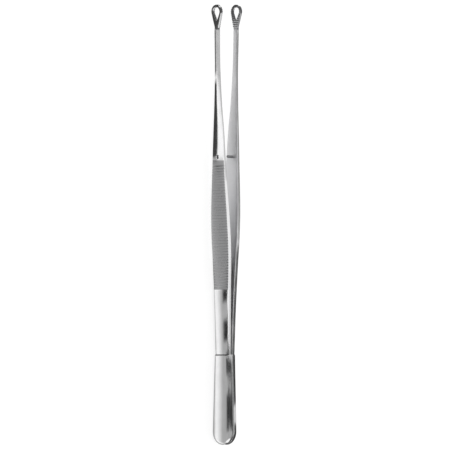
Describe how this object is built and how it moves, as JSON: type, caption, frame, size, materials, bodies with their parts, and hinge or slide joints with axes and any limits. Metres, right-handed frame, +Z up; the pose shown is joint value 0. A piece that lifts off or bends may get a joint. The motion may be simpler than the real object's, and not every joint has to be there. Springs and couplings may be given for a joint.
{
  "type": "ring forceps",
  "caption": "Thumb-type ring forceps: sprung arms joined at a round butt, serrated grips, a guide pin with its hole, and open teardrop ring jaws at the tips.",
  "frame": {"origin": "under the middle of the forceps, on the surface that it lies on with the side edges of its arms", "axes": "+X from the butt to the ring jaws, +Y towards the arm with the guide hole (the arms close along Y), +Z up, across the width of the arms"},
  "size_m": [0.23, 0.0168, 0.014],
  "materials": {
    "polished_steel": "polished stainless steel, slightly satin, with fine grinding lines",
    "pin_steel": "turned stainless steel"
  },
  "bodies": {
    "butt": {"hole_arm_butt": "polished_steel", "pin_arm_butt": "polished_steel", "hole_arm_spring": "polished_steel", "pin_arm_spring": "polished_steel"},
    "hole_side": {"hole_arm": "polished_steel"},
    "pin_side": {"pin_arm": "polished_steel", "guide_pin": "pin_steel"}
  },
  "joints": [
    {"name": "hole_arm_squeeze", "type": "hinge", "parent": "butt", "child": "hole_side", "pos_m": [-0.04499, 0.00188, 0.007], "axis": [0, 0, -1], "range_deg": [0, 2.39], "stiffness_Nm_per_rad": 14, "deforming": ["hole_arm_spring"]},
    {"name": "pin_arm_squeeze", "type": "hinge", "parent": "butt", "child": "pin_side", "pos_m": [-0.04499, -0.00188, 0.007], "axis": [0, 0, 1], "range_deg": [0, 2.39], "stiffness_Nm_per_rad": 14, "deforming": ["pin_arm_spring"]}
  ]
}
